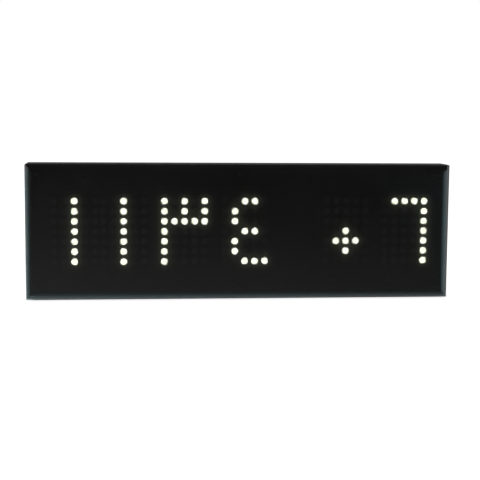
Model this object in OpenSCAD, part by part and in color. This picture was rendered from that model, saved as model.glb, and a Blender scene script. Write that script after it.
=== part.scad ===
// Dot matrix LED display in a slim two-part housing.
// X runs along the width, the window faces -Y and Z is up.
// The origin is at the middle of the footprint, on the surface it stands on.

/* [Housing] */
// Overall width
case_w = 323.6; // [294:0.1:400]
// Overall height
case_h = 103; // [98:0.1:140]
// Overall depth from the window to the back
case_d = 30; // [30:0.5:45]
// Thickness of the side, top and bottom walls
wall_t = 2.5; // [2:0.1:3.2]
// Thickness of the tinted window
window_t = 2.5; // [2:0.1:3.5]
// Thickness of the back panel
back_t = 2.5; // [2:0.1:3]
// Radius of the rounded edge round the window
edge_r = 7; // [5:0.5:9]
// Radius of the rounded edge round the back
back_edge_r = 3; // [2.6:0.1:5]
// Radius of the four corners seen from the front
corner_r = 1.8; // [1:0.1:3]

/* [Seam between cover and case] */
// How far behind the front of the display board the seam lies
seam_behind_board = 0.5; // [0:0.1:1]
// Width and depth of the shadow groove along the seam
seam_groove = 0.7; // [0.4:0.1:1]
// How far the lip of the case reaches into the cover
lip_reach = 4; // [3:0.1:5]
// Thickness of the lip
lip_t = 1.5; // [1.2:0.1:2]
// Clearance round the lip
lip_gap = 0.25; // [0.1:0.05:0.4]
// Depth over which the lip is rooted in the case wall
lip_root = 3; // [2:0.1:5]

/* [Matrix modules] */
// Spacing of the dots
dot_pitch = 7.62; // [7.1:0.01:8]
// Diameter of a dot
dot_d = 5; // [4.2:0.1:5.6]
// How much a dot's cell narrows on each side towards its diode
dot_taper = 0.8; // [0.7:0.05:1.2]
// Plastic beside the outermost dots of a module
module_side = 0.36; // [0.3:0.02:0.6]
// Plastic above and below the outermost dots of a module
module_end = 1.24; // [1:0.02:2]
// Depth of one module
module_d = 8; // [7:0.1:8.4]
// Depth of the recess in the back of a module
module_recess = 2.2; // [1.8:0.1:3]
// Wall of a module round its recess
module_wall = 1; // [0.8:0.05:1.1]
// Gap between the window and the modules
window_gap = 1; // [0.5:0.1:1.4]
// How far the dot rows are centred above the middle of the housing
rows_up = 0.7; // [-2:0.1:2]
// Gap from the left side of the housing to the first module
left_gap = 18.7; // [13:0.1:20]
// Gap between the first two modules
pair_gap = 0.5; // [0.3:0.1:8]
// Gaps between the next modules of the left group
figure_gap = 9.6; // [6:0.1:12]
// Gap between the two modules of the right group
sign_gap = 9.2; // [6:0.1:12]
// Gap from the last module to the right side of the housing
right_gap = 17.2; // [13:0.1:20]
// Clearance between a dot and its cell
cell_gap = 0.02; // [0.01:0.01:0.1]
// Thickness of the carrier plate in a module
carrier_t = 1.2; // [0.8:0.1:1.6]
// Clearance round the carrier plate
carrier_gap = 0.1; // [0.05:0.05:0.3]
// Diameter of a module pin
pin_d = 0.6; // [0.4:0.05:0.8]
// Spacing of the pins in a row
pin_pitch = 2.54; // [2:0.01:3]
// Distance between the two rows of pins
pin_rows = 25.4; // [20:0.1:30]
// How far the pins stand out behind the display board
pin_proud = 1.2; // [0.6:0.1:2]

/* [Display board] */
// Thickness of the board
board_t = 1.6; // [1.2:0.1:2]
// Clearance between the board's edge and the lip
board_gap = 1.75; // [1:0.05:2.5]
// Diameter of the holes for the module pins
pin_hole_d = 1; // [0.9:0.05:1.3]

/* [Screws] */
// Diameter of the screws' shanks
screw_d = 3; // [2.5:0.1:3.2]
// Diameter of the screws' heads
screw_head_d = 5.6; // [5:0.1:6]
// Height of the screws' heads
screw_head_t = 2.2; // [1.6:0.1:2.6]
// Width of the drive recess in the heads
screw_drive_w = 2.6; // [2:0.1:3]
// Grip of a screw in the plastic
screw_grip = 8; // [6:0.1:8.5]
// Clearance between a shank and its hole
screw_gap = 0.05; // [0.02:0.01:0.15]
// Outer diameter of the bosses in the cover
boss_d = 7; // [6.4:0.1:8]
// Plastic under the head of a case screw
boss_floor = 4; // [3:0.1:5]
// Diameter of the counterbores for the case screws
counterbore_d = 6.6; // [6.4:0.1:7.2]
// Outer diameter of the posts that carry the board
post_d = 7; // [6.4:0.1:8]
// Distance of the board posts from the middle, to each side
post_x = [72, 118];
// Distance of the board posts from the bottom and top of the housing
post_in = 14; // [13:0.1:16]

/* [Wall fixing and vents] */
// Distance between the two keyholes
keyhole_spacing = 190; // [160:1:220]
// Distance of the keyhole entries below the top
keyhole_in = 37; // [33:0.1:40]
// Diameter of a keyhole's entry
keyhole_d = 9; // [7:0.1:10]
// Width of a keyhole's neck
keyhole_neck = 4.6; // [3.6:0.1:5]
// Distance from a keyhole's entry up to the end of its neck
keyhole_rise = 8; // [7:0.1:10]
// Room behind a keyhole for the screw's head
keyhole_room = 4; // [3:0.1:5]
// Clearance round the screw's head behind the back panel
keyhole_side = 2.5; // [1:0.1:4]
// Wall of the pocket behind a keyhole
pocket_t = 1.5; // [1:0.1:2]
// Slots in each group of vents
vent_count = 9; // [3:1:12]
// Width of a vent slot
vent_w = 2; // [1:0.1:3]
// Length of a vent slot
vent_l = 20; // [12:1:24]
// Spacing of the vent slots
vent_pitch = 5; // [4:0.1:6]
// Distance of the middle of the vent groups below the top
vent_in = 34; // [30:1:40]
// Distance of each vent group from the middle of the housing
vent_x = 40; // [35:1:44]

/* [Data sockets] */
// Width of a socket
socket_w = 16; // [15:0.1:16.6]
// Height of a socket off the board
socket_h = 13.4; // [12.5:0.1:13.6]
// Length of a socket
socket_l = 21; // [18:0.1:21.5]
// Depth of a socket's mouth inside the base of the housing
socket_inset = 1; // [0.5:0.1:1.5]
// Distance between the two sockets
socket_spacing = 20; // [18:0.5:24]
// Clearance between a socket and its cut-out
socket_gap = 0.3; // [0.2:0.05:0.5]
// Width of the cavity for the plug
plug_w = 11.8; // [11:0.1:12.2]
// Height of the cavity for the plug
plug_h = 7; // [6.6:0.1:7.4]
// Depth of the cavity for the plug
plug_l = 13; // [10:0.1:14]
// Width of the channel for the plug's latch
latch_w = 6.2; // [5.6:0.1:7]
// Height of the channel for the plug's latch
latch_h = 2.4; // [1.5:0.1:2.8]
// Spacing of the contacts
contact_pitch = 1.02; // [0.9:0.01:1.1]
// Diameter of a contact
contact_d = 0.45; // [0.3:0.05:0.6]

/* [Parts on the board] */
// Height of the resistor arrays above the middle of the dot rows
array_up = 17; // [15:1:20]
// Place of the first row transistor from the middle of the housing
transistor_x = -60; // [-62:1:-58]
// Spacing of the row transistors
transistor_pitch = 8; // [7.5:0.1:8.4]
// Distance of the row transistors below the top
transistor_in = 18; // [17:0.5:20]
// Height of the crystal above the middle of the dot rows
crystal_up = 16; // [12:1:24]
// Distance of the line transceiver above the sockets
bus_up = 8; // [6:1:12]
// Side of the choke's square foot
choke_w = 12; // [10:0.1:12.4]
// Height of the choke
choke_h = 6.5; // [5:0.1:8]
// Diameter of a capacitor's can
can_d = 9.8; // [8:0.1:10.2]
// Height of a capacitor's can
can_h = 9.7; // [7:0.1:10]
// Place of the regulator from the middle of the housing
power_x = -62; // [-63:1:-60]
// Height of the regulator, the choke and the capacitors above the base
power_z = 30; // [28:1:32]
// Spacing of the regulator, the choke and the capacitors
power_pitch = 13; // [12.6:0.1:13.4]

/* [Hidden] */
$fn = 48;
module_list = [1, 2, 3, 4, 5, 6];

// One drawing per module, read from the top row down. An x is a lit dot.
BAR = ["..x..", "..x..", "..x..", "..x..", "..x..", "..x..", "..x.."];
COMB = ["x.x.x", "x.x.x", "xxxxx", "x....", "x....", "x....", "x...."];
HOOKS = ["..xx.", ".x...", ".x...", "..xx.", ".x...", ".x...", "..xxx"];
PLUS = [".....", ".....", ".....", "..x..", ".xxx.", "..x..", "....."];
SEVEN = [".xxxx", "....x", "....x", "....x", "....x", "....x", "....x"];
GLYPHS = [BAR, BAR, COMB, HOOKS, PLUS, SEVEN];
dot_rows = 7;
dot_cols = 5;
dot_root_d = dot_d - 2 * dot_taper;
module_w = (dot_cols - 1) * dot_pitch + dot_d + 2 * module_side;
module_h = (dot_rows - 1) * dot_pitch + dot_d + 2 * module_end;
first_x = -case_w / 2 + left_gap + module_w / 2;
figure_step = module_w + figure_gap;
last_x = case_w / 2 - right_gap - module_w / 2;
module_x = [
    first_x,
    first_x + module_w + pair_gap,
    first_x + module_w + pair_gap + figure_step,
    first_x + module_w + pair_gap + 2 * figure_step,
    last_x - module_w - sign_gap,
    last_x
];

// A little extra so that cuts pass right through.
cut = 1;
front_y = -case_d / 2;
back_y = case_d / 2;
module_front_y = front_y + window_t + window_gap;
board_front_y = module_front_y + module_d;
board_back_y = board_front_y + board_t;
seam_y = board_front_y + seam_behind_board;
cover_d = seam_y - front_y;
panel_y = back_y - back_t;
rows_z = case_h / 2 + rows_up;

// How deep one feature of a moulding is sunk into the next.
merge = 0.5;
lip_in = wall_t + lip_gap;
board_in = lip_in + lip_t + board_gap;
boss_in = lip_in + lip_t + lip_gap + boss_d / 2;
inner_corner_r = corner_r / 2;
column_d = 2 * (boss_in - wall_t + merge);
notch_gap = 0.5;
boss_gap = 0.2;
bore_spare = 0.5;
screw_hole_d = screw_d + 0.4;
case_screw_x = [-(case_w / 2 - boss_in), 0, case_w / 2 - boss_in];
case_screw_z = [boss_in, case_h - boss_in];
board_screw_x = [-post_x[1], -post_x[0], post_x[0], post_x[1]];
board_screw_z = [post_in, case_h - post_in];
keyhole_x = [-keyhole_spacing / 2, keyhole_spacing / 2];
keyhole_z = case_h - keyhole_in;
controller_x = (module_x[3] + module_x[4]) / 2;
socket_x = [controller_x - socket_spacing / 2, controller_x + socket_spacing / 2];
pin_count = 7;
rib_h = 2.5;
rib_t = 1.2;

socket_skin = 1;
cavity_y = board_back_y + socket_h - socket_skin - latch_h - plug_h;
contact_count = 8;
contact_slot_w = contact_count * contact_pitch;
contact_slot_t = 1;
contact_start = 4;
contact_tip = 1.2;
contact_sink = 0.5;

// Width, height and length of the body of each package on the board.
driver_size = [7.5, 2.3, 10.3];
array_size = [3.9, 1.5, 8.7];
transistor_size = [3.5, 1.6, 6.5];
controller_size = [10, 1.4, 10];
crystal_size = [10.4, 3.5, 3.9];
bus_size = [3.9, 1.5, 4.9];
regulator_size = [8.7, 4.3, 10.2];

// Leads of the chips: how thick they are, and how wide against their spacing.
lead_t = 0.25;
lead_share = 0.36;
chip_stand = 0.1;

// Spacing of the leads, and how far they reach out of each body.
small_pitch = 1.27;
small_reach = 1.1;
driver_reach = 1.4;
controller_pitch = 0.8;
controller_reach = 1;
transistor_lead_pitch = 2.3;
transistor_tab_w = 3;
transistor_reach = 1.6;
regulator_pitch = 1.7;
regulator_reach = 4;

// ---------- shared shapes ----------

// A rectangle with rounded corners, centred on X and standing on Y = 0.
module rounded_rect(w, h, r) {
    translate([-w / 2 + r, 0]) square([w - 2 * r, h]);
    translate([-w / 2, r]) square([w, h - 2 * r]);
    for (sx = [-1, 1], y = [r, h - r]) translate([sx * (w / 2 - r), y]) circle(r);
}

// A strip w wide and d deep from Y = 0, with both corners at Y = 0 rounded.
module rounded_edge_strip(w, d, r) {
    translate([-w / 2, r]) square([w, d - r]);
    translate([-w / 2 + r, 0]) square([w - 2 * r, d]);
    for (sx = [-1, 1]) translate([sx * (w / 2 - r), r]) circle(r);
}

// A flat outline in X and Z, made d deep from Y = y0.
module deep(y0, d) {
    translate([0, y0 + d, 0]) rotate([90, 0, 0]) linear_extrude(d) children();
}

// A block w wide, h high and d deep, its four edges at Y = 0 rounded by edge.
module pillow_block(w, h, d, edge, corner) {
    intersection() {
        deep(0, d) rounded_rect(w, h, corner);
        linear_extrude(h) rounded_edge_strip(w, d, edge);
        translate([w / 2, 0, h / 2]) rotate([0, -90, 0]) linear_extrude(w)
            rounded_edge_strip(h, d, edge);
    }
}

// A rod along Y from y0 to y1.
module rod_y(d, y0, y1) {
    translate([0, y1, 0]) rotate([90, 0, 0]) cylinder(h = y1 - y0, d = d);
}

// Places its children at every crossing of a list of X and a list of Z values.
module at_grid(xs, zs) {
    for (x = xs, z = zs) translate([x, 0, z]) children();
}

// A flat frame that follows the housing, inset from its sides, t wide.
module frame_outline(inset, t) {
    difference() {
        translate([0, inset]) rounded_rect(case_w - 2 * inset, case_h - 2 * inset, inner_corner_r);
        translate([0, inset + t])
            rounded_rect(case_w - 2 * (inset + t), case_h - 2 * (inset + t), inner_corner_r);
    }
}

// Centre of a dot in its module: column from the left, row from the top.
function dot_x(col) = (col - (dot_cols - 1) / 2) * dot_pitch;
function dot_z(row) = ((dot_rows - 1) / 2 - row) * dot_pitch;

// Moves its children to the middle of module i, with Y = 0 at its front face.
module at_module(i) {
    translate([module_x[i - 1], module_front_y, rows_z]) children();
}

// Places its children at each dot of module i that is lit, or at each that is dark.
module at_dots(i, lit) {
    for (row = [0:dot_rows - 1], col = [0:dot_cols - 1])
        if ((GLYPHS[i - 1][row][col] == "x") == lit)
            translate([dot_x(col), 0, dot_z(row)]) children();
}

// Places its children at each pin of a module.
module at_pins() {
    for (sx = [-1, 1], k = [0:pin_count - 1])
        translate([sx * pin_rows / 2, 0, (k - (pin_count - 1) / 2) * pin_pitch]) children();
}

// A pan-head screw along Y, the underside of its head at Y = 0 and its shank towards +Y.
module pan_screw(shank) {
    rim_t = screw_head_t * 0.6;
    top_d = screw_head_d * 0.72;
    difference() {
        union() {
            rod_y(screw_d - 2 * screw_gap, -rim_t, shank);
            rod_y(screw_head_d, -rim_t, 0);
            translate([0, -rim_t, 0]) rotate([90, 0, 0])
                cylinder(h = screw_head_t - rim_t, d1 = screw_head_d, d2 = top_d);
        }
        for (a = [0, 90]) translate([0, -screw_head_t, 0]) rotate([0, a, 0])
            cube([screw_drive_w, screw_head_t, screw_drive_w / 4], center = true);
    }
}

// Moves its children onto the back of the board, at x and z.
module on_board(x, z) {
    translate([x, board_back_y, z]) children();
}

// One bent lead of a chip: it leaves the body at X = 0 and its foot ends at reach.
module bent_lead(reach, rise, w) {
    knee = reach * 0.4;
    translate([0, 0, -w / 2]) linear_extrude(w) polygon([
        [-lead_t, rise], [knee, rise], [knee + lead_t, lead_t], [reach, lead_t],
        [reach, 0], [knee, 0], [knee - lead_t, rise - lead_t], [-lead_t, rise - lead_t]
    ]);
}

// A row of leads along Z on the +X side of a body w wide.
module lead_row(w, count, pitch, reach, rise) {
    for (k = [0:count - 1]) translate([w / 2, 0, (k - (count - 1) / 2) * pitch])
        bent_lead(reach, rise, pitch * lead_share);
}

// A chip of a given width, height and length, with leads on the sides that are listed.
module chip(size, count, pitch, reach, sides) {
    translate([-size[0] / 2, chip_stand, -size[2] / 2]) cube(size);
    for (a = sides) rotate([0, a, 0])
        lead_row(size[0], count, pitch, reach, chip_stand + size[1] / 2);
}

// A slot with round ends, w wide and l long.
module slot_outline(w, l) {
    translate([-w / 2, -(l - w) / 2]) square([w, l - w]);
    for (sy = [-1, 1]) translate([0, sy * (l - w) / 2]) circle(d = w);
}

// ---------- housing ----------

// Tinted cover: the window, its rounded edges and the screw bosses are one moulding.
module front_cover() {
    color([0.05, 0.055, 0.06]) difference() {
        union() {
            difference() {
                translate([0, front_y, 0])
                    pillow_block(case_w, case_h, cover_d, edge_r, corner_r);
                translate([0, front_y + window_t, wall_t])
                    pillow_block(case_w - 2 * wall_t, case_h - 2 * wall_t, cover_d,
                        edge_r - wall_t, inner_corner_r);
            }
            at_grid(case_screw_x, case_screw_z)
                rod_y(boss_d, front_y + window_t - merge, seam_y - boss_gap);
        }
        at_grid(case_screw_x, case_screw_z)
            rod_y(screw_d, seam_y - screw_grip - bore_spare, seam_y);
    }
}

// The shadow groove cut round the rim of the case.
module seam_cut() {
    deep(seam_y - cut, cut + seam_groove) difference() {
        translate([0, -cut]) rounded_rect(case_w + 2 * cut, case_h + 2 * cut, corner_r);
        translate([0, seam_groove])
            rounded_rect(case_w - 2 * seam_groove, case_h - 2 * seam_groove, inner_corner_r);
    }
}

// The outline of one keyhole, its entry at the origin and its neck upward.
module keyhole_outline() {
    circle(d = keyhole_d);
    translate([0, keyhole_rise]) circle(d = keyhole_neck);
    translate([-keyhole_neck / 2, 0]) square([keyhole_neck, keyhole_rise]);
}

// The room behind a keyhole, or with a wall of grow round it the pocket that closes it.
module keyhole_box(grow, y1) {
    w = keyhole_d + 2 * (keyhole_side + grow);
    h = w + keyhole_rise;
    y0 = panel_y - keyhole_room - grow;
    translate([-w / 2, y0, -w / 2]) cube([w, y1 - y0, h]);
}

// A group of vent slots with round ends.
module vent_group() {
    for (k = [0:vent_count - 1]) translate([(k - (vent_count - 1) / 2) * vent_pitch, 0, 0])
        deep(panel_y - cut, back_t + 2 * cut) slot_outline(vent_w, vent_l);
}

// The outside of a data socket, or with a clearance the room that it needs.
module socket_block(x, gap, below) {
    translate([x - socket_w / 2 - gap, board_back_y - gap, socket_inset - below])
        cube([socket_w + 2 * gap, socket_h + 2 * gap, socket_l + below + gap]);
}

// The walls, back panel and seam groove of the rear case.
module case_shell() {
    depth = back_y - seam_y;
    difference() {
        translate([0, back_y, 0]) mirror([0, 1, 0])
            pillow_block(case_w, case_h, depth, back_edge_r, corner_r);
        translate([0, panel_y, wall_t]) mirror([0, 1, 0])
            pillow_block(case_w - 2 * wall_t, case_h - 2 * wall_t, depth,
                max(back_edge_r - wall_t, 1), inner_corner_r);
        seam_cut();
    }
}

// Rear case: walls, back panel, lip, screw columns, board posts, ribs and keyhole pockets.
module rear_case() {
    color([0.09, 0.09, 0.1]) difference() {
        union() {
            case_shell();
            deep(seam_y - lip_reach, lip_reach + lip_root) frame_outline(lip_in, lip_t);
            deep(seam_y, lip_root) frame_outline(wall_t - merge, merge + lip_gap + lip_t);
            at_grid(case_screw_x, case_screw_z) rod_y(column_d, seam_y, panel_y + merge);
            at_grid(board_screw_x, board_screw_z) rod_y(post_d, board_back_y, panel_y + merge);
            at_grid(keyhole_x, [keyhole_z]) keyhole_box(pocket_t, panel_y + merge);
            for (x = concat(board_screw_x, [0]))
                translate([x - rib_t / 2, panel_y - rib_h, post_in])
                    cube([rib_t, rib_h + merge, case_h - 2 * post_in]);
        }
        at_grid(case_screw_x, case_screw_z) {
            rod_y(screw_hole_d, seam_y - cut, seam_y + boss_floor + cut);
            rod_y(counterbore_d, seam_y + boss_floor, back_y + cut);
        }
        at_grid(board_screw_x, board_screw_z)
            rod_y(screw_d, board_back_y - cut, board_back_y + screw_grip + bore_spare);
        at_grid(keyhole_x, [keyhole_z]) {
            keyhole_box(0, panel_y);
            deep(panel_y - cut, back_t + 2 * cut) keyhole_outline();
        }
        at_grid([-vent_x, vent_x], [case_h - vent_in]) vent_group();
        for (x = socket_x) socket_block(x, socket_gap, socket_inset + cut);
    }
}

// Screws that draw the case onto the bosses of the cover, driven from the back.
module case_screws() {
    color([0.62, 0.62, 0.64]) at_grid(case_screw_x, case_screw_z)
        translate([0, seam_y + boss_floor, 0]) mirror([0, 1, 0]) pan_screw(boss_floor + screw_grip);
}

// ---------- matrix modules ----------

// One cell of a module or the dot cast in it: wide at the face, narrow over the diode.
module dot_cone(gap) {
    rotate([-90, 0, 0]) cylinder(h = module_d - module_recess,
        d1 = dot_d - 2 * gap, d2 = dot_root_d - 2 * gap);
}

// Reflector shell of a module, with a tapered cell for each dot and a recess behind.
module matrix_shell(i) {
    cell_l = module_d - module_recess;
    in_w = module_w - 2 * module_wall;
    in_h = module_h - 2 * module_wall;
    color([0.07, 0.07, 0.075]) at_module(i) difference() {
        translate([-module_w / 2, 0, -module_h / 2]) cube([module_w, module_d, module_h]);
        translate([-in_w / 2, cell_l, -in_h / 2]) cube([in_w, module_recess + cut, in_h]);
        for (lit = [true, false]) at_dots(i, lit) {
            dot_cone(0);
            rod_y(dot_d, -cut, 0);
            rod_y(dot_root_d, cell_l, cell_l + cut);
        }
    }
}

// Plate in the back of a module that carries its diodes, and the pins soldered to the board.
module matrix_carrier(i) {
    w = module_w - 2 * (module_wall + carrier_gap);
    h = module_h - 2 * (module_wall + carrier_gap);
    y0 = module_d - module_recess;
    color([0.75, 0.74, 0.68]) at_module(i) {
        translate([-w / 2, y0, -h / 2]) cube([w, carrier_t, h]);
        at_pins() rod_y(pin_d, y0 + carrier_t / 2, board_back_y + pin_proud - module_front_y);
    }
}

// The dots of a module that are lit.
module matrix_lit_dots(i) {
    color([1, 1, 0.9]) at_module(i) at_dots(i, true) dot_cone(cell_gap);
}

// The dots of a module that are dark.
module matrix_dark_dots(i) {
    color([0.34, 0.35, 0.33]) at_module(i) at_dots(i, false) dot_cone(cell_gap);
}

// ---------- display board and what it carries ----------

// Board behind the modules, notched round the screw columns and drilled for the pins.
module display_board() {
    w = case_w - 2 * board_in;
    h = case_h - 2 * board_in;
    color([0.05, 0.2, 0.12]) difference() {
        translate([-w / 2, board_front_y, board_in]) cube([w, board_t, h]);
        at_grid(case_screw_x, case_screw_z)
            rod_y(column_d + 2 * notch_gap, board_front_y - cut, board_back_y + cut);
        at_grid(board_screw_x, board_screw_z)
            rod_y(screw_hole_d, board_front_y - cut, board_back_y + cut);
        for (x = module_x) translate([x, 0, rows_z]) at_pins()
            rod_y(pin_hole_d, board_front_y - cut, board_back_y + cut);
    }
}

// Screws that hold the board on the posts of the case, driven from the front.
module board_screws() {
    color([0.62, 0.62, 0.64]) at_grid(board_screw_x, board_screw_z)
        translate([0, board_front_y, 0]) pan_screw(board_t + screw_grip);
}

// One column driver behind each module.
module module_drivers() {
    color([0.08, 0.08, 0.09]) for (x = module_x) on_board(x, rows_z)
        chip(driver_size, 8, small_pitch, driver_reach, sides = [0, 180]);
}

// One resistor array for each module's columns.
module resistor_arrays() {
    color([0.1, 0.1, 0.11]) for (x = module_x) on_board(x, rows_z + array_up) rotate([0, 90, 0])
        chip(array_size, 6, small_pitch, small_reach, sides = [0, 180]);
}

// One switching transistor for each row of dots: three leads, and a wide tab above.
module row_transistors() {
    tab_pitch = transistor_tab_w / lead_share;
    color([0.1, 0.1, 0.11]) for (k = [0:dot_rows - 1])
        on_board(transistor_x + k * transistor_pitch, case_h - transistor_in) rotate([0, 90, 0]) {
            chip(transistor_size, 3, transistor_lead_pitch, transistor_reach, sides = [0]);
            chip(transistor_size, 1, tab_pitch, transistor_reach, sides = [180]);
        }
}

// Controller, in the free place between the two groups of modules.
module controller_chip() {
    color([0.08, 0.08, 0.09]) on_board(controller_x, rows_z)
        chip(controller_size, 11, controller_pitch, controller_reach, sides = [0, 90, 180, 270]);
}

// Quartz crystal above the controller, a low can with round ends on a flange.
module crystal() {
    flange_w = 0.5;
    color([0.72, 0.72, 0.74]) on_board(controller_x, rows_z + crystal_up) {
        deep(0, crystal_size[1]) rotate(90) slot_outline(crystal_size[2], crystal_size[0]);
        deep(0, flange_w) rotate(90)
            slot_outline(crystal_size[2] + 2 * flange_w, crystal_size[0] + 2 * flange_w);
    }
}

// Line transceiver above the data sockets.
module bus_chip() {
    color([0.08, 0.08, 0.09]) on_board(controller_x, socket_inset + socket_l + bus_up)
        chip(bus_size, 4, small_pitch, small_reach, sides = [0, 180]);
}

// Voltage regulator: a body on a soldered tab, with five leads.
module regulator() {
    tab_out = 2.2;
    tab_t = 1.2;
    tab_w = regulator_size[2] - 1;
    color([0.1, 0.1, 0.11]) on_board(power_x, power_z) rotate([0, 90, 0]) {
        chip(regulator_size, 5, regulator_pitch, regulator_reach, sides = [0]);
        translate([-regulator_size[0] / 2 - tab_out, 0, -tab_w / 2])
            cube([tab_out + regulator_size[0] / 2, tab_t, tab_w]);
    }
}

// Storage choke: a round drum on a square foot.
module inductor() {
    foot_t = 1.2;
    drum_d = choke_w * 0.92;
    top_d = choke_w * 0.72;
    top_step = 0.5;
    color([0.2, 0.2, 0.21]) on_board(power_x + power_pitch, power_z) {
        translate([-choke_w / 2, 0, -choke_w / 2]) cube([choke_w, foot_t, choke_w]);
        rod_y(drum_d, foot_t / 2, choke_h - top_step);
        rod_y(top_d, foot_t, choke_h);
    }
}

// Electrolytic capacitors: a can with a crimped waist on a square foot.
module capacitors() {
    foot_t = 1;
    foot_w = can_d + 0.4;
    r = can_d / 2;
    waist = 0.5;
    waist_y = 2.8;
    color([0.75, 0.75, 0.77]) for (k = [2:4]) on_board(power_x + k * power_pitch, power_z) {
        translate([-foot_w / 2, 0, -foot_w / 2]) cube([foot_w, foot_t, foot_w]);
        rotate([-90, 0, 0]) rotate_extrude() polygon([
            [0, foot_t / 2], [r, foot_t / 2], [r, waist_y - waist], [r - waist, waist_y],
            [r, waist_y + waist], [r, can_h - waist], [r - waist, can_h], [0, can_h]
        ]);
    }
}

// ---------- data sockets ----------

// Socket for a modular plug, open towards the base, latch side away from the board.
module data_socket(x) {
    color([0.06, 0.06, 0.065]) difference() {
        socket_block(x, 0, 0);
        translate([x, cavity_y, socket_inset - cut]) {
            translate([-plug_w / 2, 0, 0]) cube([plug_w, plug_h, plug_l + cut]);
            translate([-latch_w / 2, 0, 0]) cube([latch_w, plug_h + latch_h, plug_l + cut]);
        }
        translate([x, cavity_y - contact_slot_t, socket_inset + contact_start - cut])
            translate([-contact_slot_w / 2, 0, 0])
                cube([contact_slot_w, contact_slot_t + cut, plug_l - contact_start + cut]);
    }
}

// Sprung contacts of both sockets, leaning from the deep end out into the plug's room.
module socket_contacts() {
    lean = atan2(contact_tip + contact_sink, plug_l - contact_start);
    color([0.85, 0.68, 0.3]) for (x = socket_x, k = [0:contact_count - 1])
        translate([x + (k - (contact_count - 1) / 2) * contact_pitch, cavity_y, socket_inset])
            intersection() {
                translate([0, -contact_sink, contact_start]) rotate([-lean, 0, 0])
                    cylinder(h = plug_l, d = contact_d);
                translate([-contact_d, -contact_slot_t, 0])
                    cube([2 * contact_d, plug_h + contact_slot_t, plug_l]);
            }
}

// ---------- nodes ----------

front_cover();
rear_case();
case_screws();
display_board();
board_screws();
for (i = module_list) {
    matrix_shell(i);
    matrix_carrier(i);
    matrix_lit_dots(i);
    matrix_dark_dots(i);
}
module_drivers();
resistor_arrays();
row_transistors();
controller_chip();
crystal();
bus_chip();
regulator();
inductor();
capacitors();
data_socket(socket_x[0]);  // data_socket_in
data_socket(socket_x[1]);  // data_socket_out
socket_contacts();
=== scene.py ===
"""A slim dot matrix LED display in a gloss black housing, dressed around its CAD model."""
import math

import bpy
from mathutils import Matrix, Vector


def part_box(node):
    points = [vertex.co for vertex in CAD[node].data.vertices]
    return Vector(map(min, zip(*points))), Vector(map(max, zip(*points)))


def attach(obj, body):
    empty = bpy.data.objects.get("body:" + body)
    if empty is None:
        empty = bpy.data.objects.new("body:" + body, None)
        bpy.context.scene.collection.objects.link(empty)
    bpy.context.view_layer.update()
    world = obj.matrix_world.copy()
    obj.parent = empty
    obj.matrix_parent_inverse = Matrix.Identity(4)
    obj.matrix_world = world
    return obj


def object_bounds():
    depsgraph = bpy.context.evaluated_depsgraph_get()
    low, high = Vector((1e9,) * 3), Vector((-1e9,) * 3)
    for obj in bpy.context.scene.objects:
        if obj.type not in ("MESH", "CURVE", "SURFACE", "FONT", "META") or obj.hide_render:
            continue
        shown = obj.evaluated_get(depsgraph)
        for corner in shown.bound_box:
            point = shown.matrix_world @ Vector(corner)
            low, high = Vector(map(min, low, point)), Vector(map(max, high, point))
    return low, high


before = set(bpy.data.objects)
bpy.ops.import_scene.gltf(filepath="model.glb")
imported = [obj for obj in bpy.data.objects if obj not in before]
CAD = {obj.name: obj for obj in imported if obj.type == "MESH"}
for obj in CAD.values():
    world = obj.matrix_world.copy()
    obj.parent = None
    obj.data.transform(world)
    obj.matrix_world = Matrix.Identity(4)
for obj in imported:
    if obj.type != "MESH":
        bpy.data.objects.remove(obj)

CAD_LO, CAD_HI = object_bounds()
MODULES = range(1, 7)
MM = 0.001

# ---------- shared node tools ----------

# A noise keeps mostly between these, so this part of it is stretched over a wanted range.
NOISE_LOW, NOISE_HIGH = 0.3, 0.7
NOISE_ROUGHNESS = 0.55
PLAIN_DETAIL, WEAR_DETAIL, GRAIN_DETAIL = 3.0, 5.0, 2.0
# How much finer than the drift of the colour the wear of the gloss is.
WEAR_PER_CLOUD = 3.7


class Tree:
    """A node tree, with short calls to add nodes and join them."""

    def __init__(self, owner):
        owner.use_nodes = True
        self.tree = owner.node_tree
        self.tree.nodes.clear()

    def add(self, kind, inputs=None, **settings):
        node = self.tree.nodes.new(kind)
        for key, value in settings.items():
            setattr(node, key, value)
        for key, value in (inputs or {}).items():
            if isinstance(value, bpy.types.NodeSocket):
                self.tree.links.new(value, node.inputs[key])
            else:
                node.inputs[key].default_value = value
        return node

    def place(self):
        """Where a point is on the object, in metres."""
        return self.add("ShaderNodeTexCoord").outputs["Object"]

    def noise(self, place, scale, detail=PLAIN_DETAIL):
        node = self.add("ShaderNodeTexNoise", {
            "Vector": place, "Scale": scale, "Detail": detail, "Roughness": NOISE_ROUGHNESS})
        return node.outputs["Fac"]

    def spread(self, value, low, high):
        """Stretches the middle of a noise over low to high."""
        node = self.add("ShaderNodeMapRange", {
            "Value": value, "From Min": NOISE_LOW, "From Max": NOISE_HIGH,
            "To Min": low, "To Max": high})
        return node.outputs["Result"]

    def colours(self, value, low, high):
        """Runs from one colour to another. A colour mix has them in sockets 6 and 7."""
        node = self.add("ShaderNodeMix", {0: value, 6: (*low, 1), 7: (*high, 1)}, data_type="RGBA")
        return node.outputs[2]

    def bump(self, height, distance):
        node = self.add("ShaderNodeBump", {
            "Height": height, "Distance": distance, "Strength": 1.0})
        return node.outputs["Normal"]

    def surface(self, shader):
        self.add("ShaderNodeOutputMaterial", {"Surface": shader})


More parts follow.
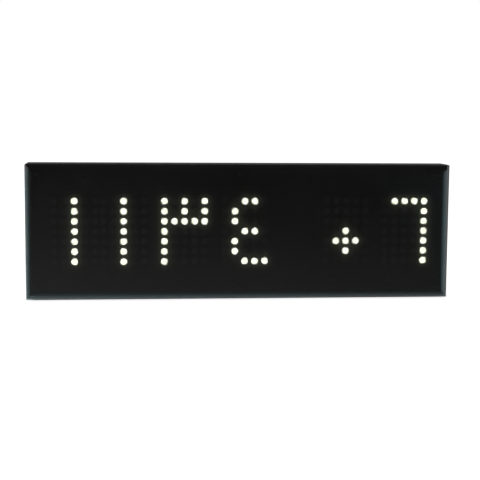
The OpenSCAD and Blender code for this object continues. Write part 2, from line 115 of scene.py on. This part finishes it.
def finish_of(name, low, high, rough, grain, height, cloud, **sockets):
    """A material whose colour and roughness drift slowly and whose surface has a fine grain.

    low and high are the two colours, rough is the range of roughness, grain and cloud are the
    noise scales of the surface and of the drift, and height is the depth of the grain in metres.
    """
    material = bpy.data.materials.new(name)
    tree = Tree(material)
    place = tree.place()
    drift = tree.noise(place, cloud)
    wear = tree.noise(place, cloud * WEAR_PER_CLOUD, WEAR_DETAIL)
    inputs = {
        "Base Color": tree.colours(tree.spread(drift, 0.0, 1.0), low, high),
        "Roughness": tree.spread(wear, *rough),
        "Normal": tree.bump(tree.noise(place, grain, GRAIN_DETAIL), height),
    }
    inputs.update(sockets)
    tree.surface(tree.add("ShaderNodeBsdfPrincipled", inputs).outputs["BSDF"])
    return material


def between(table, value):
    """Reads a table of (key, value) pairs with straight lines between them."""
    for (k0, v0), (k1, v1) in zip(table, table[1:]):
        if value <= k1:
            return v0 + (v1 - v0) * max(0.0, (value - k0) / (k1 - k0))
    return table[-1][1]


# ---------- materials ----------

# The cover is smoke-tinted gloss plastic. What is lit behind it shows through two surfaces.
COVER_ALPHA = 0.74
GLOSS = {"Alpha": COVER_ALPHA, "IOR": 1.49, "Specular IOR Level": 0.6}
METAL = {"Metallic": 1.0}

# By name: low colour, high colour, range of roughness, grain scale, grain height, cloud scale
# and further sockets.
FINISHES = {
    "tinted_cover": ((0.0037, 0.0037, 0.0036), (0.0054, 0.0054, 0.0052), (0.08, 0.13),
                     900.0, 0.0000004, 14.0, GLOSS),
    "case_black": ((0.017, 0.017, 0.0175), (0.021, 0.021, 0.0215), (0.4, 0.5),
                   1500.0, 0.00016, 90.0, {"Specular IOR Level": 0.5}),
    "screw_steel": ((0.34, 0.35, 0.38), (0.48, 0.48, 0.5), (0.32, 0.46),
                    5200.0, 0.00001, 500.0, METAL),
    "board_green": ((0.008, 0.045, 0.02), (0.016, 0.08, 0.036), (0.3, 0.42),
                    1500.0, 0.00001, 180.0, {}),
    "module_black": ((0.004, 0.004, 0.0042), (0.007, 0.007, 0.0072), (0.6, 0.75),
                     3000.0, 0.00002, 120.0, {"Specular IOR Level": 0.3}),
    "carrier_plate": ((0.5, 0.47, 0.38), (0.62, 0.6, 0.5), (0.5, 0.65),
                      2400.0, 0.00002, 200.0, {}),
    "dot_dark": ((0.2, 0.21, 0.19), (0.26, 0.27, 0.24), (0.3, 0.4),
                 2600.0, 0.00001, 700.0, {}),
    "chip_black": ((0.012, 0.012, 0.013), (0.022, 0.022, 0.023), (0.5, 0.62),
                   5200.0, 0.00002, 400.0, {}),
    "can_steel": ((0.55, 0.55, 0.57), (0.7, 0.7, 0.71), (0.2, 0.3),
                  3000.0, 0.000006, 300.0, METAL),
    "ferrite": ((0.03, 0.03, 0.032), (0.055, 0.054, 0.055), (0.6, 0.75),
                2200.0, 0.00004, 260.0, {}),
    "can_aluminium": ((0.66, 0.66, 0.67), (0.8, 0.8, 0.81), (0.22, 0.34),
                      2600.0, 0.000006, 240.0, METAL),
    "socket_black": ((0.014, 0.014, 0.015), (0.024, 0.024, 0.025), (0.3, 0.4),
                     2600.0, 0.00001, 120.0, {}),
    "contact_gold": ((0.75, 0.5, 0.16), (0.86, 0.62, 0.24), (0.18, 0.3),
                     5200.0, 0.000004, 900.0, METAL),
}
MATERIALS = {name: finish_of(name, *values, **sockets)
             for name, (*values, sockets) in FINISHES.items()}

# Cast dots lit from inside are a warm white with a slight mottle.
LIT_STRENGTH = 15.4
LIT_BODY = ((0.8, 0.8, 0.7), (0.9, 0.9, 0.8))
LIT_LIGHT = ((0.96, 1, 0.77), (0.98, 1, 0.79))
LIT_ROUGH = (0.25, 0.4)
MOTTLE_SCALE, MOTTLE_HEIGHT = 900.0, 0.00001


def lit_material():
    material = bpy.data.materials.new("dot_lit")
    tree = Tree(material)
    mottle = tree.noise(tree.place(), MOTTLE_SCALE)
    tree.surface(tree.add("ShaderNodeBsdfPrincipled", {
        "Base Color": tree.colours(tree.spread(mottle, 0.0, 1.0), *LIT_BODY),
        "Roughness": tree.spread(mottle, *LIT_ROUGH),
        "Normal": tree.bump(mottle, MOTTLE_HEIGHT),
        "Emission Color": tree.colours(tree.spread(mottle, 0.0, 1.0), *LIT_LIGHT),
        "Emission Strength": LIT_STRENGTH,
    }).outputs["BSDF"])
    material.cycles.emission_sampling = "NONE"
    return material


MATERIALS["dot_lit"] = lit_material()

# Which material each CAD node takes.
FINISH = {
    "front_cover": "tinted_cover", "rear_case": "case_black", "case_screws": "screw_steel",
    "display_board": "board_green", "board_screws": "screw_steel",
    "module_drivers": "chip_black", "resistor_arrays": "chip_black",
    "row_transistors": "chip_black", "controller_chip": "chip_black", "crystal": "can_steel",
    "bus_chip": "chip_black", "regulator": "chip_black", "inductor": "ferrite",
    "capacitors": "can_aluminium", "data_socket_in": "socket_black",
    "data_socket_out": "socket_black", "socket_contacts": "contact_gold",
}
for i in MODULES:
    FINISH[f"matrix_{i}_shell"] = "module_black"
    FINISH[f"matrix_{i}_carrier"] = "carrier_plate"
    FINISH[f"matrix_{i}_lit_dots"] = "dot_lit"
    FINISH[f"matrix_{i}_dark_dots"] = "dot_dark"
for name, node in CAD.items():
    for holder in node.material_slots:
        holder.material = MATERIALS[FINISH[name]]

# ---------- light that spreads from the lit dots ----------

DOT_PITCH = 7.62 * MM
# Just behind the window: the near glow at GLOW_Y and the wide glow a little before it.
GLOW_Y = -12.0 * MM
GLOW_GAP = 0.2 * MM
NEAR_TINT = (0.97, 1.0, 1.0)
WIDE_TINT = (0.95, 1.0, 0.66)


def lit_centres(i):
    """The middle of each lit dot of a module, as (x, z)."""
    low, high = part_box(f"matrix_{i}_shell")
    x, z = (low.x + high.x) / 2, (low.z + high.z) / 2
    cells = {(round((v.co.x - x) / DOT_PITCH), round((v.co.z - z) / DOT_PITCH))
             for v in CAD[f"matrix_{i}_lit_dots"].data.vertices}
    return [(x + col * DOT_PITCH, z + row * DOT_PITCH) for col, row in sorted(cells)]


LIT = [spot for i in MODULES for spot in lit_centres(i)]

# Light seen round a dot, by distance from its middle in mm: on its rim and spread in the window.
NEAR_GLOW = [(1.5, 0.0), (1.9, 0.12), (2.45, 0.18), (2.52, 0.012), (2.9, 0.008), (3.3, 0.004),
             (3.75, 0.0)]
WIDE_GLOW = [(0.0, 0.012), (3.8, 0.012), (4.5, 0.0095), (5.3, 0.0055), (6.0, 0.0027),
             (7.0, 0.0008), (9.0, 0.0003), (12.0, 0.0)]
RING_SIDES = 32
SHEET_STEP = 1.27 * MM
# Faces of the wide glow that are all darker than this are left out.
GLOW_LEAST = 0.00002


def glow_material():
    """Adds light in front of what is behind it, as strong as the mesh's glow attribute."""
    material = bpy.data.materials.new("window_glow")
    tree = Tree(material)
    level = tree.add("ShaderNodeAttribute", attribute_name="glow")
    light = tree.add("ShaderNodeEmission", {"Color": level.outputs["Color"], "Strength": 1.0})
    clear = tree.add("ShaderNodeBsdfTransparent")
    tree.surface(tree.add("ShaderNodeAddShader", {
        0: light.outputs[0], 1: clear.outputs[0]}).outputs[0])
    material.cycles.emission_sampling = "NONE"
    return material


def glow_piece(name, points, faces, levels, tint):
    mesh = bpy.data.meshes.new(name)
    mesh.from_pydata(points, [], faces)
    glow = mesh.color_attributes.new("glow", "FLOAT_COLOR", "POINT")
    through = (1 - COVER_ALPHA) ** 2
    for spot, level in zip(glow.data, levels):
        spot.color = (*(level / through * share for share in tint), 1)
    piece = bpy.data.objects.new(name, mesh)
    bpy.context.collection.objects.link(piece)
    piece.data.materials.append(window_glow)
    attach(piece, "root")


window_glow = glow_material()


def make_near_glow():
    """A flat ring round each lit dot, for the light on its rim."""
    points, levels, faces = [], [], []
    for x, z in LIT:
        first = len(points)
        for radius, level in NEAR_GLOW:
            for k in range(RING_SIDES):
                turn = 2 * math.pi * k / RING_SIDES
                points.append((x + radius * MM * math.cos(turn), GLOW_Y,
                               z + radius * MM * math.sin(turn)))
                levels.append(level)
        for ring in range(len(NEAR_GLOW) - 1):
            for k in range(RING_SIDES):
                a = first + ring * RING_SIDES + k
                b = first + ring * RING_SIDES + (k + 1) % RING_SIDES
                faces.append((a, b, b + RING_SIDES, a + RING_SIDES))
    glow_piece("near_glow", points, faces, levels, NEAR_TINT)


def wide_level(x, z, reach):
    """The sum of what the lit dots within reach give a point of the window."""
    total = 0.0
    for cx, cz in LIT:
        gap = math.hypot(x - cx, z - cz)
        if gap < reach:
            total += between(WIDE_GLOW, gap / MM)
    return total


def make_wide_glow():
    """Sheets over the lit figures, as bright at each point as the dots round it make them."""
    reach = WIDE_GLOW[-1][0] * MM
    x0, x1 = min(p[0] for p in LIT) - reach, max(p[0] for p in LIT) + reach
    z0, z1 = min(p[1] for p in LIT) - reach, max(p[1] for p in LIT) + reach
    across, up = round((x1 - x0) / SHEET_STEP), round((z1 - z0) / SHEET_STEP)
    points, levels = [], []
    for j in range(up + 1):
        for i in range(across + 1):
            x, z = x0 + (x1 - x0) * i / across, z0 + (z1 - z0) * j / up
            points.append((x, GLOW_Y - GLOW_GAP, z))
            levels.append(wide_level(x, z, reach))
    row = across + 1
    faces = [(j * row + i, j * row + i + 1, (j + 1) * row + i + 1, (j + 1) * row + i)
             for j in range(up) for i in range(across)]
    faces = [face for face in faces if max(levels[corner] for corner in face) > GLOW_LEAST]
    corners = sorted({corner for face in faces for corner in face})
    used = {corner: place for place, corner in enumerate(corners)}
    glow_piece("wide_glow", [points[corner] for corner in corners],
               [tuple(used[corner] for corner in face) for face in faces],
               [levels[corner] for corner in corners], WIDE_TINT)


make_near_glow()
make_wide_glow()

# ---------- floor, background and light ----------

FLOOR_Z = -0.2 * MM
FLOOR_SIZE = 12.0
WHITE = (1, 1, 1, 1)
# The floor shows white with the object's shadow, and lights the object like plain pale paper.
PAPER_SHADE = (0.42, 0.42, 0.42, 1)
PAPER_GLOW = 0.77
PAPER_PLAIN = (0.8, 0.8, 0.8, 1)
SKY_SOFT, SKY_WHITE = 0.55, 1.0


def seen_directly(tree):
    """1 for rays that show the background: from the camera, off gloss and through glass."""
    path = tree.add("ShaderNodeLightPath").outputs
    either = tree.add("ShaderNodeMath", {
        0: path["Is Camera Ray"], 1: path["Is Glossy Ray"]}, operation="ADD")
    every = tree.add("ShaderNodeMath", {
        0: either.outputs[0], 1: path["Is Transmission Ray"]}, operation="ADD", use_clamp=True)
    return every.outputs[0]


def make_floor():
    """A pale sheet under the object."""
    bpy.ops.mesh.primitive_plane_add(size=FLOOR_SIZE, location=(0, 0, FLOOR_Z))
    floor = bpy.context.object
    floor.name = "floor"
    material = bpy.data.materials.new("floor_paper")
    tree = Tree(material)
    shade = tree.add("ShaderNodeBsdfDiffuse", {"Color": PAPER_SHADE})
    glow = tree.add("ShaderNodeEmission", {"Color": WHITE, "Strength": PAPER_GLOW})
    both = tree.add("ShaderNodeAddShader", {0: shade.outputs[0], 1: glow.outputs[0]})
    plain = tree.add("ShaderNodeBsdfDiffuse", {"Color": PAPER_PLAIN})
    tree.surface(tree.add("ShaderNodeMixShader", {
        0: seen_directly(tree), 1: plain.outputs[0], 2: both.outputs[0]}).outputs[0])
    floor.data.materials.append(material)


make_floor()

world = bpy.data.worlds.new("studio")
bpy.context.scene.world = world
sky = Tree(world)
soft = sky.add("ShaderNodeBackground", {"Color": WHITE, "Strength": SKY_SOFT})
white = sky.add("ShaderNodeBackground", {"Color": WHITE, "Strength": SKY_WHITE})
mixed = sky.add("ShaderNodeMixShader", {
    0: seen_directly(sky), 1: soft.outputs[0], 2: white.outputs[0]})
sky.add("ShaderNodeOutputWorld", {"Surface": mixed.outputs[0]})


# Name, place, side length in metres and power in watts of the soft lamps.
LAMPS = [("key_light", (-1.4, -1.0, 1.6), 1.4, 26.0),
         ("fill_light", (1.5, 0.9, 1.2), 1.0, 9.0),
         ("back_light", (-1.5, 1.1, 1.2), 1.0, 7.0)]
LAMP_AIM = Vector((0, 0, 0.05))


def softbox(name, place, side, power):
    """A square lamp that looks at the object."""
    lamp = bpy.data.lights.new(name, "AREA")
    lamp.shape = "RECTANGLE"
    lamp.size = lamp.size_y = side
    lamp.energy = power
    holder = bpy.data.objects.new(name, lamp)
    bpy.context.collection.objects.link(holder)
    holder.location = place
    holder.rotation_mode = "QUATERNION"
    holder.rotation_quaternion = (holder.location - LAMP_AIM).to_track_quat("Z", "Y")


for lamp_values in LAMPS:
    softbox(*lamp_values)


# Cards that only reflections see, as photographers hang round gloss black plastic.
CARD_DARK = 0.07
ARCH_LEFT, ARCH_RIGHT = -1.7, 1.3
ARCH_HALF, ARCH_TOP, ARCH_FOOT = 3.0, 2.8, 0.001


def reflected_card(name, points, faces, colours):
    """A card seen by gloss alone, with a colour at each of its points."""
    mesh = bpy.data.meshes.new(name)
    mesh.from_pydata(points, [], faces)
    shade = mesh.color_attributes.new("shade", "FLOAT_COLOR", "POINT")
    for spot, colour in zip(shade.data, colours):
        spot.color = (*colour, 1)
    card = bpy.data.objects.new(name, mesh)
    bpy.context.collection.objects.link(card)
    material = bpy.data.materials.new(name)
    tree = Tree(material)
    seen = tree.add("ShaderNodeAttribute", attribute_name="shade")
    tree.surface(tree.add("ShaderNodeEmission", {"Color": seen.outputs["Color"]}).outputs[0])
    material.cycles.emission_sampling = "NONE"
    card.data.materials.append(material)
    card.visible_camera = False
    card.visible_diffuse = False
    card.visible_shadow = False
    card.visible_transmission = False
    card.visible_volume_scatter = False


# Brightness of the arch's back wall by height in metres, at its left and at its right edge.
BACK_SHADE = [(2.6, 0.06, 0.06), (2.28, 0.19, 0.36), (1.83, 0.19, 0.36), (1.19, 0.13, 0.24),
              (0.74, 0.08, 0.15), (0.36, 0.045, 0.08), (ARCH_FOOT, 0.04, 0.07)]


def make_arch():
    """A dark strip in front of the object and over it, with a graded wall behind it."""
    rows = [(-ARCH_HALF, ARCH_FOOT, CARD_DARK, CARD_DARK),
            (-ARCH_HALF, ARCH_TOP, CARD_DARK, CARD_DARK),
            (ARCH_HALF, ARCH_TOP, CARD_DARK, CARD_DARK)]
    rows += [(ARCH_HALF, height, left, right) for height, left, right in BACK_SHADE]
    points = [(x, y, z) for y, z, _, _ in rows for x in (ARCH_LEFT, ARCH_RIGHT)]
    colours = [(value, value, value) for row in rows for value in row[2:]]
    faces = [(k, k + 1, k + 3, k + 2) for k in range(0, 2 * (len(rows) - 1), 2)]
    reflected_card("arch_card", points, faces, colours)


# Brightness of the floor card in front of the window, by distance in metres. Below 0 it is
# under the case, seen in the turned-in lower edge.
FRONT_SHADE = [(-0.006, 0.03), (-0.0042, 0.04), (-0.0034, 0.4), (-0.0027, 1.25), (-0.0012, 1.12),
               (0.0005, 0.84), (0.003, 0.58), (0.0065, 0.38), (0.02, 0.33), (0.1, 0.28),
               (0.4, 0.18), (0.9, 0.11), (1.5, 0.07), (3.0, 0.06)]
# Behind the case, by distance too.
REAR_SHADE = [(-0.006, 0.1), (0.0, 0.15), (0.05, 0.4), (0.2, 0.6), (0.7, 0.6), (1.5, 0.3),
              (3.0, 0.1)]
# And round the sides, by the angle from the front in degrees, positive to the right.
LEFT_SHADE = [(-180, 0.04), (-165, 0.08), (-148, 0.25), (-137, 0.55), (-120, 1.6), (-105, 1.7),
              (-90, 1.3), (-80, 0.8), (-70, 0.38), (-60, 0.18)]
RIGHT_SHADE = [(20, 0.23), (31, 0.51), (45, 0.96), (58, 1.72), (70, 2.05), (80, 1.35), (89, 0.3),
               (98, 0.05), (112, 0.03), (144, 0.03), (180, 0.03)]
# The front's brightness holds between these angles, times a share that falls with x in metres.
FRONT_LEFT_ANGLE, FRONT_RIGHT_ANGLE = -50.0, 17.0
FRONT_SHARE = [(-0.16, 1.2), (-0.1, 1.05), (0.12, 0.7)]
LEFT_TINT = (0.74, 0.99, 1.03)
RIGHT_TINT = (0.66, 0.97, 1.08)
EDGE_TINT = (0.77, 0.99, 1.03)
FRONT_TINT = (0.95, 1.0, 0.96)
FAR_TINT = (0.97, 1.0, 1.0)
# In front the edge's tint reaches to NEAR, and all round the far tint starts beyond FAR.
NEAR, FAR = 0.01, 1.7
CARD_Z = 0.2 * MM
# Degrees between the card's spots round a corner, and parts along its front and its back.
CORNER_STEP = 10
SIDE_PARTS = 8
CARD_RINGS = [-0.006, -0.0042, -0.0034, -0.0027, -0.0012, 0.0005, 0.003, 0.0065, 0.01, 0.02,
              0.05, 0.1, 0.2, 0.4, 0.7, 1.1, 1.6, 2.2, 2.9]


def card_shade(x, angle, distance):
    """Colour of the floor card at an angle round a corner, as (red, green, blue)."""
    front = between(FRONT_SHADE, distance) * between(FRONT_SHARE, x)
    if angle < FRONT_LEFT_ANGLE:
        level, tint = between(LEFT_SHADE + [(FRONT_LEFT_ANGLE, front)], angle), LEFT_TINT
    elif angle > FRONT_RIGHT_ANGLE:
        level, tint = between([(FRONT_RIGHT_ANGLE, front)] + RIGHT_SHADE, angle), RIGHT_TINT
    else:
        level, tint = front, FRONT_TINT if distance > NEAR else EDGE_TINT
    if distance > FAR:
        tint = FAR_TINT
    return [level * share for share in tint]


def make_floor_card():
    """A graded card on the floor, in rings at growing distances round the footprint."""
    x0, y0, x1, y1 = CAD_LO[0], CAD_LO[1], CAD_HI[0], CAD_HI[1]
    spots = []
    for (cx, cy), start in (((x0, y1), -180), ((x0, y0), -90), ((x1, y0), 0), ((x1, y1), 90)):
        spots += [(cx, cy, start + step) for step in range(0, 91, CORNER_STEP)]
        if start == -90:
            spots += [(x0 + (x1 - x0) * k / SIDE_PARTS, y0, 0) for k in range(1, SIDE_PARTS)]
    spots += [(x1 + (x0 - x1) * k / SIDE_PARTS, y1, None) for k in range(1, SIDE_PARTS)]
    points, colours, faces = [], [], []
    for distance in CARD_RINGS:
        for cx, cy, angle in spots:
            turn = math.pi if angle is None else math.radians(angle)
            x = cx + distance * math.sin(turn)
            y = cy - distance * math.cos(turn)
            if distance < 0:
                x = min(max(cx, x0 - distance), x1 + distance)
                y = min(max(cy, y0 - distance), y1 + distance)
            points.append((x, y, CARD_Z))
            colours.append([between(REAR_SHADE, distance)] * 3 if angle is None
                           else card_shade(cx, angle, distance))
    count = len(spots)
    for ring in range(len(CARD_RINGS) - 1):
        for k in range(count):
            n = (k + 1) % count
            faces.append((ring * count + k, ring * count + n,
                          (ring + 1) * count + n, (ring + 1) * count + k))
    reflected_card("floor_card", points, faces, colours)


make_arch()
make_floor_card()

# ---------- camera ----------

# Fitted to the photo. The turn is in degrees.
SENSOR_WIDTH, FOCAL_LENGTH = 36.0, 87.814
CAMERA_PLACE = (-0.088255, -0.89176, 0.146093)
CAMERA_TURN = (83.5068, -0.4478, -5.6527)

lens = bpy.data.cameras.new("camera")
lens.sensor_width = SENSOR_WIDTH
lens.lens = FOCAL_LENGTH
camera = bpy.data.objects.new("camera", lens)
bpy.context.collection.objects.link(camera)
camera.location = CAMERA_PLACE
camera.rotation_euler = [math.radians(turn) for turn in CAMERA_TURN]
bpy.context.scene.camera = camera
bpy.context.scene.view_settings.view_transform = "Standard"
